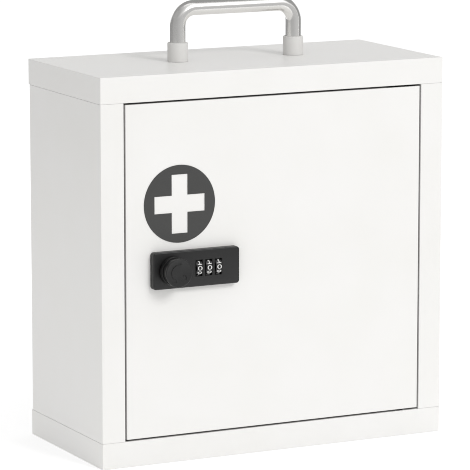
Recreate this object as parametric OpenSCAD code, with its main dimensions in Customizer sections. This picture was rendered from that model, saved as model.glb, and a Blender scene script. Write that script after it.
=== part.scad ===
// Lockable medicine cabinet with a bow handle, an inset door on pivot pins and a combination cam lock.
// X runs across the front from left to right, Y from front to back, Z up.
// The origin is the middle of the underside, and the front face is at -Y.

/* [Body] */
// Width of the cabinet
body_w = 298; // [270:1:420]
// Height of the boards, without the handle
body_h = 304; // [280:1:420]
// Depth of the top and bottom boards
body_d = 138; // [125:1:200]
// Thickness of the top and bottom boards
board_t = 20.4; // [18:0.1:25]
// Thickness of the side panels
side_t = 19.4; // [18:0.1:25]
// How far the side panels and the back stop short of the rear edges
rear_setback = 2; // [1:0.5:4]
// Rounding of the boards' edges
edge_r = 0.5; // [0.4:0.1:1.2]

/* [Back] */
// Thickness of the back panel
back_t = 8; // [6:1:10]
// Width of the rebate that the back panel lies in
rebate_w = 9; // [8:0.5:10]
// Play between the back panel and its rebate
back_play = 0.3; // [0.2:0.1:0.6]
// Radius of the screws that hold the back panel
back_screw_r = 1.5; // [1.25:0.05:1.75]
// Length of the screws that hold the back panel
back_screw_l = 18; // [16:1:22]
// Radius of the holes for the wall screws
wall_hole_r = 2.6; // [2:0.1:3.5]
// Distance between the wall screws, across
wall_pitch_x = 200; // [160:1:204]
// Distance between the wall screws, up and down
wall_pitch_z = 200; // [160:1:210]

/* [Shelf] */
// Thickness of the shelf
shelf_t = 10; // [8:1:14]
// Height of the pins that carry the shelf
shelf_z = 152; // [140:1:180]
// Gap between the strike plate and the shelf behind it
shelf_front_gap = 1.2; // [1:0.2:10]
// Radius of the shelf pins
shelf_pin_r = 2.5; // [2:0.1:3]
// Length of a shelf pin outside the side panel
shelf_pin_out = 8; // [6:1:10]
// Depth of the holes for the shelf pins
shelf_hole_depth = 10; // [8:1:12]
// Step between the rows of holes for the shelf pins
shelf_hole_step = 32; // [25:1:40]
// Distance of the shelf pins from the shelf's front edge and from the back panel
shelf_pin_inset = 20; // [14:1:30]

/* [Corner joints] */
// Radius of a dowel
dowel_r = 4; // [3:0.5:4]
// Length of a dowel
dowel_l = 30; // [25:1:32]
// Wood left between a dowel and the screw of the door stop beside it
dowel_gap = 3; // [2:0.5:5]
// Radius of a joint cam
joint_cam_r = 7.5; // [6:0.5:8]
// Depth of a joint cam in the side panel
joint_cam_t = 12.5; // [11:0.5:14]
// Distance from the end of the side panel to a joint cam
joint_cam_reach = 24; // [20:1:34]
// Radius of a joint bolt's shaft
joint_bolt_r = 2.5; // [2:0.1:3]

/* [Handle] */
// Thickness of the handle's bar
bar_d = 12.2; // [10:0.1:13]
// Distance between the handle's legs
handle_pitch = 102; // [90:1:130]
// Height of the bar's middle above the top board
handle_rise = 41.7; // [36:0.1:60]
// Radius of the handle's bends, at the middle of the bar
bend_r = 14; // [11:0.5:18]
// Outer diameter of the handle's sleeves
sleeve_d = 16.3; // [15:0.1:20]
// Height of the handle's sleeves
sleeve_h = 15; // [10:0.5:18]
// Radius of the handle's screws
handle_screw_r = 2.5; // [2:0.1:3]
// How far the handle's screws reach into the bar
handle_screw_in = 16; // [12:1:20]
// Radius of the handle's washers
washer_r = 7.5; // [6:0.5:9]
// Thickness of the handle's washers
washer_t = 1.2; // [0.8:0.1:2]

/* [Door] */
// Thickness of the door
door_t = 16; // [15:0.5:19]
// Gap round the door
door_gap = 1.4; // [1.2:0.1:2.5]
// Distance from the door's right edge to the hinge axis
axis_in = 15; // [14:0.5:20]
// Distance from the door's face to the hinge axis
axis_back = 6.3; // [6:0.1:6.8]
// Radius of the hinge pins
hinge_pin_r = 2; // [1.5:0.1:2.3]
// How far a hinge pin reaches into its bush
hinge_pin_l = 9; // [7:0.5:11]
// Outer radius of the hinge bushes
bush_r = 3.4; // [3.2:0.1:4]
// Radius of the hinge bushes' flange
bush_flange_r = 5; // [4.5:0.1:5.5]
// Gap between the bush's flange and the hinge plate
thrust_gap = 0.3; // [0.3:0.1:0.5]
// Length of the hinge plates
hinge_plate_l = 26; // [25:1:32]
// Width of the hinge plates
hinge_plate_w = 10; // [8:0.5:11]
// Thickness of the hinge plates
hinge_plate_t = 2; // [1.5:0.1:2.5]

/* [Door stops] */
// Width of a door stop, out from the side panel
stop_w = 12; // [10:1:16]
// Height of a door stop
stop_h = 14; // [12:1:20]
// Depth of a door stop
stop_d = 10; // [8:1:14]
// Thickness of a door buffer
buffer_t = 1.2; // [0.8:0.1:2]
// Gap between the closed door and the buffers
buffer_gap = 0.3; // [0.3:0.1:0.5]

/* [Mark] */
// Diameter of the round film
decal_d = 60.5; // [50:0.5:70]
// Thickness of the film
decal_t = 0.3; // [0.2:0.05:0.5]
// Distance from the cabinet's left side to the middle of the film
decal_from_left = 66.1; // [62:0.1:90]
// Height of the film's middle above the lock's middle
decal_lift = 50.4; // [46:0.1:60]
// Width of the cross, from side to side
cross_w = 42.7; // [36:0.1:46]
// Height of the cross
cross_h = 45.8; // [36:0.1:48]
// Thickness of the cross's arms
arm_w = 13.5; // [10:0.1:16]

/* [Lock] */
// Distance from the cabinet's left side to the lock plate
lock_from_left = 41.1; // [40:0.1:60]
// Height of the lock's middle
lock_z = 152.8; // [130:0.1:180]
// Width of the lock plate
plate_w = 73.6; // [73:0.2:80]
// Height of the lock plate
plate_h = 28.8; // [27:0.1:32]
// How far the lock plate stands out of the door
plate_t = 6; // [5.5:0.1:8]
// Corner rounding of the lock plate
plate_r = 2.5; // [1.5:0.1:4]
// Distance from the lock plate's left end to the knob's axis
knob_from_end = 15.8; // [15:0.1:17.5]
// Diameter of the knob
knob_d = 22.4; // [20:0.2:26]
// Length of the knob
knob_l = 12.4; // [8:0.2:14]
// Gap between the knob and the lock plate
knob_gap = 0.4; // [0.3:0.1:0.8]
// Outer radius of the barrel through the door
barrel_r = 9; // [8:0.1:9.5]
// Radius of the turning spindle
spindle_r = 5; // [4:0.1:5.5]
// Thickness of the nut behind the door
lock_nut_t = 3.5; // [3:0.1:5]
// Thickness of the cam
cam_t = 2.5; // [2:0.1:3]
// Width of the cam
cam_w = 14; // [12:0.5:16]
// Distance between the knob's end of the dial windows and the knob's axis
dials_from_knob = 31.3; // [30:0.1:32]

/* [Dials] */
// Number of figures on a dial
dial_figures = 10; // [8:1:12]
// Radius of a dial
dial_r = 7; // [6.2:0.1:7.2]
// Width of a dial
dial_w = 5; // [4.2:0.1:5.2]
// Distance from one dial to the next
dial_pitch = 8.3; // [8.2:0.1:8.8]
// How far a dial stands out of the lock plate
dial_crown = 1.2; // [0.5:0.1:1.2]
// Gap beside a dial
dial_side_gap = 0.35; // [0.3:0.05:0.5]
// Height of the windows for the dials
window_h = 12.6; // [12:0.1:14]
// Radius of the rod that the dials turn on
axle_r = 1.5; // [1.2:0.1:1.8]

/* [Strike] */
// Thickness of the strike plate
strike_t = 1.5; // [1:0.1:2]
// Height of the strike plate
strike_h = 30; // [28:1:40]
// How far the strike plate reaches out from the side panel
strike_reach = 14; // [12:0.5:16]
// Depth of the strike plate's leg on the side panel
strike_leg = 18; // [16:1:24]
// Gap between the strike plate and the turned cam
cam_gap = 0.7; // [0.5:0.1:1]
// Gap between the end of the turned cam and the strike plate
cam_end_gap = 2.7; // [2:0.1:4]

/* [Hidden] */
$fn = 96;
eps = 0.01;
past = 1;            // how far a cut runs on past the face that it opens
dial_count = 3;
run_gap = 0.05;      // radial play of a pin, rod or spindle in its bore
seat_gap = 0.05;     // radial play of a glued, pressed or screwed piece
front_y = -body_d / 2;
rear_y = body_d / 2 - rear_setback;
inner_x = body_w / 2 - side_t;
inner_top = body_h - board_t;
back_front_y = rear_y - back_t;

door_w = 2 * inner_x - 2 * door_gap;
door_h = inner_top - board_t - 2 * door_gap;
door_rear_y = front_y + door_t;
axis_x = inner_x - door_gap - axis_in;
axis_y = front_y + axis_back;
door_low = board_t + door_gap;
flange_t = door_gap - thrust_gap;
plate_play = 0.2;
hinge_plate_far = axis_x + axis_in - 3;
hinge_screw_r = 1.5;
hinge_screw_l = 14;
hinge_screw_from_pin = 8;

lock_x = -body_w / 2 + lock_from_left;
knob_x = lock_x + knob_from_end;
plate_mid_x = lock_x + plate_w / 2;
plate_y = front_y - plate_t;
window_w = dial_w + 2 * dial_side_gap;
first_dial_x = knob_x + dials_from_knob - dial_pitch;
dial_y = plate_y - dial_crown + dial_r;
case_wall = 3.3;
case_w = (dial_count - 1) * dial_pitch + window_w + 2 * case_wall;
case_h = 22;
plate_edge_r = 0.7;
spring_t = 0.4;
case_front_y = plate_y + 2.1;
slot_rear_y = dial_y + dial_r + spring_t + 0.4;
case_rear_y = slot_rear_y + 1.2;
case_play = 0.3;
dials_mid_x = first_dial_x + (dial_count - 1) * dial_pitch / 2;
barrel_flange_r = 10.5;
barrel_flange_t = 2.5;
nut_flats = 24;
nut_rear_y = door_rear_y + lock_nut_t;
nut_gap = 0.4;
cam_y = nut_rear_y + nut_gap;
square_w = 6.5;
cam_hub_r = 8.5;
cam_len = knob_x + inner_x - strike_t - cam_end_gap;
cam_screw_r = 2;
cam_screw_in = 10;
cam_head_r = 5.5;
cam_head_t = 2.8;
knob_y = plate_y - knob_gap;
knob_neck = 1.4;
knob_neck_in = 1.6;
knob_cap_t = 3;
knob_edge_r = 0.5;
knob_waist_at = 5.4; // height of the waist between the knob's collar and its cap
knob_rim_t = 1.8;
knob_waist_w = knob_l - knob_waist_at - knob_rim_t;
knob_waist_in = 0.9;
arc_r = 6.9;
arc_w = 1.1;
arc_from = 76;
arc_turn = 160;
mark_depth = 0.4;
fix_x = lock_x + plate_w - 5.3;
fix_screw_r = 1.5;
fix_screw_in = 4;
fix_head_r = 3.5;
fix_head_t = 2.2;
strike_y = cam_y - cam_gap - strike_t;
screw_r = 1.5;
screw_l = 14;
strike_screw_inset = 8;
stop_front_y = door_rear_y + buffer_gap + buffer_t;
stop_from_board = 5;
buffer_r = 4;
handle_head_r = 4.8;
handle_head_t = 3.4;
dowel_y = body_d / 2 - (stop_front_y - front_y + stop_d / 2 + screw_r + dowel_gap + dowel_r);

white = "white";
steel = "silver";
black = "dimgray";
beech = "burlywood";

// Shapes that repeat

// A flat rectangle with round corners, centred
module rounded_rect(a, b, r) {
    square([a, b - 2 * r], center = true);
    square([a - 2 * r, b], center = true);
    for (x = [-1, 1], y = [-1, 1]) translate([x * (a / 2 - r), y * (b / 2 - r)]) circle(r = r, $fn = 32);
}

// A block from corner lo to corner hi
module block(lo, hi) {
    translate(lo) cube(hi - lo);
}

// A block from corner lo to corner hi with every edge rounded
module board(lo, hi, r) {
    s = hi - lo;
    translate((lo + hi) / 2) intersection() {
        linear_extrude(s[2], center = true) rounded_rect(s[0], s[1], r);
        rotate([90, 0, 0]) linear_extrude(s[1], center = true) rounded_rect(s[0], s[2], r);
        rotate([90, 0, 90]) linear_extrude(s[0], center = true) rounded_rect(s[1], s[2], r);
    }
}

// A rod from a point along +X, +Y or +Z
module rod_x(p, r, l) {
    translate(p) rotate([0, 90, 0]) cylinder(r = r, h = l);
}

module rod_y(p, r, l) {
    translate(p) rotate([-90, 0, 0]) cylinder(r = r, h = l);
}

module rod_z(p, r, l) {
    translate(p) cylinder(r = r, h = l);
}

// A countersunk screw with its head's face at the origin, pointing to -Z
module countersunk_screw(r, l) {
    head_r = 1.9 * r;
    difference() {
        rotate_extrude() polygon([[0, 0], [head_r, 0], [head_r, -0.3], [r, -0.3 - (head_r - r)],
                                  [r, -(l - r)], [0.2, -l], [0, -l]]);
        for (a = [0, 90]) rotate([0, 0, a]) cube([head_r, 0.35 * r, 1.2 * r], center = true);
    }
}

// The hole that a countersunk screw sits in, with play
module countersunk_hole(r, l) {
    head_r = 1.9 * r + seat_gap;
    rotate_extrude() polygon([[0, 1], [head_r, 1], [head_r, -0.3 - seat_gap],
                              [r + seat_gap, -0.3 - seat_gap - (head_r - r - seat_gap)],
                              [r + seat_gap, -l - 0.2], [0, -l - 0.2]]);
}

// A pan head screw with its head's seat at the origin, pointing to +Z
module pan_screw(r, l, head_r, head_t) {
    difference() {
        union() {
            cylinder(r = r, h = l);
            rotate_extrude() polygon([[0, 0], [head_r, 0], [head_r, -0.5 * head_t],
                                      [0.75 * head_r, -head_t], [0, -head_t]]);
        }
        for (a = [0, 90])
            translate([0, 0, -head_t]) rotate([0, 0, a]) cube([head_r, 0.4 * r, head_t], center = true);
    }
}

// Repeats its children, drawn at the upper right corner with Z from mid height, at all four corners
module at_corners() {
    for (left = [0, 1], low = [0, 1])
        translate([0, 0, body_h / 2]) mirror([left, 0, 0]) mirror([0, 0, low]) children();
}

// Turns children drawn for the top of the door to its bottom
module at_bottom() {
    translate([0, 0, body_h / 2]) mirror([0, 0, 1]) translate([0, 0, -body_h / 2]) children();
}

// Corner joints: dowels either side of one cam and bolt

seam_z = body_h / 2 - board_t;
joint_x = body_w / 2 - side_t / 2;
joint_cam_z = seam_z - joint_cam_reach;
joint_bolt_in = 11;
joint_slot_l = 8;
joint_slot_w = 1.2;
joint_cam_sink = 0.2;
dowel_in_board = 10;

module dowels_at_corner(grow) {
    for (y = [-dowel_y, dowel_y])
        rod_z([joint_x, y, seam_z + dowel_in_board - dowel_l - grow], dowel_r + grow, dowel_l + 2 * grow);
}

module bolt_at_corner(grow) {
    rod_z([joint_x, 0, joint_cam_z - grow], joint_bolt_r + grow,
          seam_z + joint_bolt_in - joint_cam_z + 2 * grow);
}

module cam_at_corner(grow) {
    rod_x([inner_x - eps, 0, joint_cam_z], joint_cam_r + grow, joint_cam_t + grow + eps);
}

module corner_joint_holes() {
    at_corners() {
        dowels_at_corner(seat_gap);
        bolt_at_corner(seat_gap);
        cam_at_corner(seat_gap);
    }
}

module corner_dowels() {
    color(beech) at_corners() dowels_at_corner(0);
}

module joint_cams() {
    color(steel) at_corners() difference() {
        rod_x([inner_x + joint_cam_sink, 0, joint_cam_z], joint_cam_r, joint_cam_t - joint_cam_sink);
        bolt_at_corner(2 * seat_gap);
        for (a = [0, 90]) translate([inner_x, 0, joint_cam_z]) rotate([a, 0, 0])
            cube([2 * joint_slot_w, joint_slot_l, joint_slot_w], center = true);
    }
}

module joint_bolts() {
    color(steel) at_corners() bolt_at_corner(0);
}

// Boards of the body

module top_holes() {
    corner_joint_holes();
    rod_z([axis_x, axis_y, inner_top - eps], bush_r + seat_gap, hinge_pin_l + 3);
    for (s = [-1, 1]) rod_z([s * handle_pitch / 2, 0, inner_top - 1], handle_screw_r + 0.3, board_t + 2);
    back_screw_holes();
    block([-inner_x - rebate_w, back_front_y, 0], [inner_x + rebate_w, body_d, inner_top + rebate_w]);
}

module top_board() {
    color(white) difference() {
        board([-body_w / 2, front_y, inner_top], [body_w / 2, body_d / 2, body_h], edge_r);
        top_holes();
    }
}

module bottom_board() {
    color(white) difference() {
        board([-body_w / 2, front_y, 0], [body_w / 2, body_d / 2, board_t], edge_r);
        corner_joint_holes();
        at_bottom() rod_z([axis_x, axis_y, inner_top - eps], bush_r + seat_gap, hinge_pin_l + 3);
        back_screw_holes();
        block([-inner_x - rebate_w, back_front_y, board_t - rebate_w], [inner_x + rebate_w, body_d, body_h]);
    }
}

// The right side panel; the left one is its mirror image with the lock's holes added
module side_panel() {
    difference() {
        board([inner_x, front_y, board_t], [body_w / 2, rear_y, inner_top], edge_r);
        corner_joint_holes();
        back_screw_holes();
        block([0, back_front_y, 0], [inner_x + rebate_w, body_d, body_h]);
        for (row = [-1:1], y = shelf_pin_ys)
            rod_x([inner_x - eps, y, shelf_z + row * shelf_hole_step], shelf_pin_r + seat_gap,
                  shelf_hole_depth);
    }
}

module right_side_panel() {
    color(white) side_panel();
}

module left_side_panel() {
    color(white) difference() {
        mirror([1, 0, 0]) side_panel();
        at_strike_screws() countersunk_hole(screw_r, screw_l);
        at_stop_screws() countersunk_hole(screw_r, screw_l + stop_w);
    }
}

// Back panel and its screws

back_screw_x = inner_x + rebate_w / 2;
back_screw_low = board_t - rebate_w / 2;
back_screw_rise = (body_h - 2 * back_screw_low) / 3;

module at_back_screws() {
    for (s = [-1, 1]) {
        for (row = [-1:1]) translate([s * back_screw_x, rear_y, body_h / 2 + row * back_screw_rise])
            rotate([-90, 0, 0]) children();
        for (end = [back_screw_low, body_h - back_screw_low]) translate([s * body_w / 4, rear_y, end])
            rotate([-90, 0, 0]) children();
    }
}

module back_screw_holes() {
    at_back_screws() countersunk_hole(back_screw_r, back_screw_l);
}

module back_panel() {
    w = inner_x + rebate_w - back_play;
    color(white) difference() {
        block([-w, back_front_y, board_t - rebate_w + back_play],
              [w, rear_y, inner_top + rebate_w - back_play]);
        back_screw_holes();
        for (x = [-1, 1], z = [-1, 1])
            rod_y([x * wall_pitch_x / 2, back_front_y - past, body_h / 2 + z * wall_pitch_z / 2],
                  wall_hole_r, back_t + 2 * past);
    }
}

module back_panel_screws() {
    color(steel) at_back_screws() countersunk_screw(back_screw_r, back_screw_l);
}

// Shelf on four pins

shelf_front_y = strike_y + strike_t + strike_leg + shelf_front_gap;
shelf_pin_ys = [shelf_front_y + shelf_pin_inset, back_front_y - shelf_pin_inset];
shelf_end_gap = 1;

module shelf() {
    w = inner_x - shelf_end_gap;
    low = shelf_z + shelf_pin_r + seat_gap;
    color(white) board([-w, shelf_front_y, low], [w, back_front_y - 0.5, low + shelf_t], edge_r);
}

module shelf_pins() {
    color(steel) for (s = [0, 1], y = shelf_pin_ys) mirror([s, 0, 0]) {
        rod_x([inner_x - shelf_pin_out, y, shelf_z], shelf_pin_r, shelf_pin_out + shelf_hole_depth - 0.5);
    }
}

// Handle

bar_r = bar_d / 2;
bar_z = body_h + handle_rise;

module handle_half() {
    rod_z([handle_pitch / 2, 0, body_h], bar_r, handle_rise - bend_r);
    translate([handle_pitch / 2 - bend_r, 0, bar_z - bend_r]) rotate([90, 0, 0])
        rotate_extrude(angle = 90) translate([bend_r, 0]) circle(r = bar_r);
    rod_x([0, 0, bar_z], bar_r, handle_pitch / 2 - bend_r);
}

module handle_bar() {
    color(steel) difference() {
        union() for (s = [0, 1]) mirror([s, 0, 0]) handle_half();
        for (s = [-1, 1])
            rod_z([s * handle_pitch / 2, 0, body_h - past], handle_screw_r + seat_gap,
                  handle_screw_in + 2 * past);
    }
}

module handle_sleeve(side) {
    outer = sleeve_d / 2;
    hole = bar_r + seat_gap;
    color(steel) translate([side * handle_pitch / 2, 0, body_h]) rotate_extrude() polygon([
        [hole, 0], [outer, 0], [outer, sleeve_h - 0.8], [outer - 0.8, sleeve_h], [hole, sleeve_h]]);
}

module handle_screws() {
    color(steel) for (s = [-1, 1]) translate([s * handle_pitch / 2, 0, inner_top - washer_t])
        pan_screw(handle_screw_r, board_t + washer_t + handle_screw_in, handle_head_r, handle_head_t);
}

module handle_washers() {
    color(steel) for (s = [-1, 1]) difference() {
        rod_z([s * handle_pitch / 2, 0, inner_top - washer_t], washer_r, washer_t);
        rod_z([s * handle_pitch / 2, 0, inner_top - 2 * washer_t], handle_screw_r + 0.2, 3 * washer_t);
    }
}

// Pivot hinge, drawn at the top of the door

bush_l = hinge_pin_l + 2;
hinge_plate_z = inner_top - door_gap;

module hinge_bush() {
    color(black) translate([axis_x, axis_y, inner_top]) rotate_extrude() polygon([
        [hinge_pin_r + run_gap, -flange_t], [bush_flange_r, -flange_t], [bush_flange_r, 0],
        [bush_r, 0], [bush_r, bush_l], [hinge_pin_r + run_gap, bush_l]]);
}

module hinge_pin() {
    color(steel) rod_z([axis_x, axis_y, hinge_plate_z - hinge_plate_t], hinge_pin_r,
                       hinge_plate_t + door_gap + hinge_pin_l);
}

module at_hinge_screws() {
    for (s = [-1, 1]) translate([axis_x + s * hinge_screw_from_pin, axis_y, hinge_plate_z]) children();
}

module hinge_plate_block(grow) {
    block([hinge_plate_far - hinge_plate_l - grow, axis_y - hinge_plate_w / 2 - grow,
           hinge_plate_z - hinge_plate_t],
          [hinge_plate_far + grow, axis_y + hinge_plate_w / 2 + grow, hinge_plate_z + 5 * grow]);
}

module hinge_plate() {
    color(steel) difference() {
        hinge_plate_block(0);
        rod_z([axis_x, axis_y, hinge_plate_z - 2 * hinge_plate_t], hinge_pin_r + seat_gap, 4 * hinge_plate_t);
        at_hinge_screws() countersunk_hole(hinge_screw_r, hinge_screw_l);
    }
}

module hinge_screw_pair() {
    color(steel) at_hinge_screws() countersunk_screw(hinge_screw_r, hinge_screw_l);
}

module hinge_plate_screws() {
    hinge_screw_pair();
    at_bottom() hinge_screw_pair();
}

// Door

module door_end_cuts() {
    hinge_plate_block(plate_play);
    at_hinge_screws() countersunk_hole(hinge_screw_r, hinge_screw_l);
}

module door_panel() {
    right = inner_x - door_gap;
    color(white) difference() {
        board([right - door_w, front_y, door_low], [right, door_rear_y, door_low + door_h], edge_r);
        door_end_cuts();
        at_bottom() door_end_cuts();
        rod_y([knob_x, front_y - 1, lock_z], barrel_r + 0.2, door_t + 2);
        rod_y([fix_x, front_y - 1, lock_z], fix_screw_r + 0.4, door_t + 2);
        case_block(case_play);
    }
}

// Round film with a cross-shaped opening
module cross_decal() {
    color(black) translate([-body_w / 2 + decal_from_left, front_y, lock_z + decal_lift]) rotate([90, 0, 0])
        linear_extrude(decal_t) difference() {
            circle(d = decal_d);
            square([cross_w, arm_w], center = true);
            square([arm_w, cross_h], center = true);
        }
}

// Door stops

stop_z = seam_z - stop_from_board;

module at_stops() {
    for (low = [0, 1]) translate([0, 0, body_h / 2]) mirror([0, 0, low]) children();
}

module at_stop_screws() {
    at_stops() translate([-inner_x + stop_w, stop_front_y + stop_d / 2, stop_z - stop_h / 2])
        rotate([0, 90, 0]) children();
}

module door_stops() {
    color(white) difference() {
        at_stops() block([-inner_x, stop_front_y, stop_z - stop_h],
                         [-inner_x + stop_w, stop_front_y + stop_d, stop_z]);
        at_stop_screws() countersunk_hole(screw_r, screw_l + stop_w);
    }
}

module door_stop_screws() {
    color(steel) at_stop_screws() countersunk_screw(screw_r, screw_l + stop_w - 2);
}

module door_buffers() {
    color(white) at_stops()
        rod_y([-inner_x + stop_w / 2, stop_front_y - buffer_t, stop_z - stop_h / 2], buffer_r, buffer_t);
}

// Strike plate

strike_screw_y = strike_y + strike_t + strike_leg - strike_screw_inset;

module at_strike_screws() {
    for (s = [-1, 1]) translate([-inner_x + strike_t, strike_screw_y, lock_z + s * strike_h / 4])
        rotate([0, 90, 0]) children();
}

module strike_plate() {
    low = lock_z - strike_h / 2;
    high = lock_z + strike_h / 2;
    color(steel) difference() {
        union() {
            block([-inner_x, strike_y, low], [-inner_x + strike_t, strike_y + strike_t + strike_leg, high]);
            block([-inner_x, strike_y, low], [-inner_x + strike_reach, strike_y + strike_t, high]);
        }
        at_strike_screws() countersunk_hole(screw_r, screw_l);
    }
}

module strike_screws() {
    color(steel) at_strike_screws() countersunk_screw(screw_r, screw_l);
}

// Lock: plate, case, dials, barrel, knob and cam

module case_block(grow) {
    block([dials_mid_x - case_w / 2 - grow, case_front_y - grow, lock_z - case_h / 2 - grow],
          [dials_mid_x + case_w / 2 + grow, case_rear_y + grow, lock_z + case_h / 2 + grow]);
}

module at_dials() {
    for (i = [0:dial_count - 1]) translate([first_dial_x + i * dial_pitch, 0, 0]) children();
}

module lock_faceplate() {
    color(black) difference() {
        board([lock_x, plate_y, lock_z - plate_h / 2],
              [lock_x + plate_w, front_y, lock_z + plate_h / 2], plate_edge_r);
        plate_corners();
        case_block(case_play);
        at_dials() block([-window_w / 2, plate_y - 1, lock_z - window_h / 2],
                         [window_w / 2, case_front_y + 1, lock_z + window_h / 2]);
        rod_y([knob_x, plate_y - 1, lock_z], spindle_r + 0.3, plate_t + 2);
        rod_y([knob_x, front_y - barrel_flange_t, lock_z], barrel_flange_r + seat_gap, barrel_flange_t + 1);
        rod_y([fix_x, front_y - fix_screw_in - 0.5, lock_z], fix_screw_r + seat_gap, fix_screw_in + 1);
    }
}

// What is cut off the lock plate's corners to round them
module plate_corners() {
    translate([plate_mid_x, front_y + past, lock_z]) rotate([90, 0, 0])
        linear_extrude(plate_t + 2 * past) difference() {
            square([plate_w + 2 * past, plate_h + 2 * past], center = true);
            rounded_rect(plate_w, plate_h, plate_r);
        }
}

module lock_case() {
    color(black) difference() {
        case_block(0);
        at_dials() block([-window_w / 2, case_front_y - 1, lock_z - dial_r - 0.5],
                         [window_w / 2, slot_rear_y, lock_z + dial_r + 0.5]);
        rod_x([dials_mid_x - case_w, dial_y, lock_z], axle_r + seat_gap, 2 * case_w);
    }
}

module dial_axle() {
    color(steel) rod_x([dials_mid_x - case_w / 2, dial_y, lock_z], axle_r, case_w);
}

module detent_springs() {
    color(steel) at_dials() block([-window_w / 2 + 0.4, slot_rear_y - spring_t, lock_z - dial_r],
                                  [window_w / 2 - 0.4, slot_rear_y, lock_z + dial_r]);
}

// A dial with a groove between one figure and the next
module dial(i) {
    color(black) translate([first_dial_x + i * dial_pitch, dial_y, lock_z]) difference() {
        rod_x([-dial_w / 2, 0, 0], dial_r, dial_w);
        rod_x([-dial_w, 0, 0], axle_r + run_gap, 2 * dial_w);
        for (k = [0:dial_figures - 1]) rotate([(k + 0.5) * 360 / dial_figures, 0, 0])
            rod_x([-dial_w, -dial_r - 0.15, 0], 0.45, 2 * dial_w);
    }
}

module lock_barrel() {
    color(steel) difference() {
        union() {
            rod_y([knob_x, front_y - barrel_flange_t, lock_z], barrel_flange_r, barrel_flange_t);
            rod_y([knob_x, front_y - eps, lock_z], barrel_r, nut_rear_y - front_y + eps);
        }
        rod_y([knob_x, plate_y, lock_z], spindle_r + run_gap, nut_rear_y - plate_y + past);
    }
}

module lock_nut() {
    color(steel) difference() {
        translate([knob_x, door_rear_y, lock_z]) rotate([-90, 0, 0])
            cylinder(d = nut_flats / cos(30), h = lock_nut_t, $fn = 6);
        rod_y([knob_x, door_rear_y - 1, lock_z], barrel_r + seat_gap, lock_nut_t + 2);
    }
}

module lock_fixing_screw() {
    color(steel) translate([fix_x, door_rear_y, lock_z]) rotate([90, 0, 0])
        pan_screw(fix_screw_r, door_t + fix_screw_in, fix_head_r, fix_head_t);
}

module lock_spindle() {
    top = knob_y - knob_l + knob_cap_t;
    color(steel) difference() {
        union() {
            rod_y([knob_x, top, lock_z], spindle_r, cam_y - top - 0.1);
            block([knob_x - square_w / 2, cam_y - 0.2, lock_z - square_w / 2],
                  [knob_x + square_w / 2, cam_y + cam_t - 0.1, lock_z + square_w / 2]);
        }
        rod_y([knob_x, cam_y + cam_t - cam_screw_in, lock_z], cam_screw_r + seat_gap, cam_screw_in + 1);
    }
}

// A curved arrow and a closed padlock, sunk into the knob's face
module knob_marks() {
    rotate_extrude(angle = arc_turn) translate([arc_r - arc_w / 2, 0]) square([arc_w, 2 * mark_depth]);
    linear_extrude(2 * mark_depth) rotate(arc_turn) translate([arc_r, 0])
        polygon([[-1.6, -0.2], [1.6, -0.2], [0, 2.4]]);
}

module padlock_mark() {
    linear_extrude(2 * mark_depth) {
        translate([-2, -2.8]) square([4, 2.8]);
        difference() {
            circle(r = 1.5, $fn = 32);
            circle(r = 0.8, $fn = 32);
            translate([-2, -4]) square([4, 4 - eps]);
        }
    }
}

module lock_knob() {
    r = knob_d / 2;
    face_y = knob_y - knob_l;
    color(black) difference() {
        translate([knob_x, knob_y, lock_z]) rotate([90, 0, 0]) rotate_extrude() difference() {
            union() {
                square([r - knob_neck_in, knob_l / 2]);
                translate([0, knob_neck]) square([r, knob_l - knob_neck - knob_edge_r]);
                square([r - knob_edge_r, knob_l]);
                translate([r - knob_edge_r, knob_l - knob_edge_r]) circle(r = knob_edge_r, $fn = 32);
            }
            translate([r - knob_waist_in, knob_waist_at]) square([1, knob_waist_w]);
        }
        rod_y([knob_x, face_y + knob_cap_t - seat_gap, lock_z], spindle_r + seat_gap, knob_l);
        translate([knob_x, face_y + mark_depth, lock_z]) rotate([90, 0, 0]) {
            rotate([0, 0, arc_from]) knob_marks();
            translate([4, -3, 0]) padlock_mark();
        }
    }
}

// The cam hangs down when the lock is open and turns left behind the strike plate
module lock_cam() {
    tip_r = 2;
    color(steel) translate([knob_x, cam_y + cam_t, lock_z]) rotate([90, 0, 0])
        linear_extrude(cam_t) difference() {
            union() {
                circle(r = cam_hub_r);
                translate([-cam_w / 2, -cam_len + tip_r]) square([cam_w, cam_len - tip_r]);
                translate([-cam_w / 2 + tip_r, -cam_len]) square([cam_w - 2 * tip_r, 2 * tip_r]);
                for (s = [-1, 1])
                    translate([s * (cam_w / 2 - tip_r), -cam_len + tip_r]) circle(r = tip_r, $fn = 32);
            }
            square(square_w + 2 * seat_gap, center = true);
        }
}

module cam_screw() {
    color(steel) translate([knob_x, cam_y + cam_t, lock_z]) rotate([90, 0, 0])
        pan_screw(cam_screw_r, cam_screw_in - past, cam_head_r, cam_head_t);
}

top_board();
bottom_board();
left_side_panel();
right_side_panel();
back_panel();
back_panel_screws();
corner_dowels();
joint_cams();
joint_bolts();
shelf();
shelf_pins();
handle_bar();
handle_sleeve(-1);  // left_handle_sleeve
handle_sleeve(1);  // right_handle_sleeve
handle_screws();
handle_washers();
hinge_bush();  // upper_hinge_bush
at_bottom() hinge_bush();  // lower_hinge_bush
hinge_pin();  // upper_hinge_pin
at_bottom() hinge_pin();  // lower_hinge_pin
hinge_plate();  // upper_hinge_plate
at_bottom() hinge_plate();  // lower_hinge_plate
hinge_plate_screws();
door_panel();
cross_decal();
door_stops();
door_stop_screws();
door_buffers();
strike_plate();
strike_screws();
lock_faceplate();
lock_case();
dial_axle();
detent_springs();
dial(0);  // dial_1
dial(1);  // dial_2
dial(2);  // dial_3
lock_barrel();
lock_nut();
lock_fixing_screw();
lock_knob();
lock_spindle();
lock_cam();
cam_screw();
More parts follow.
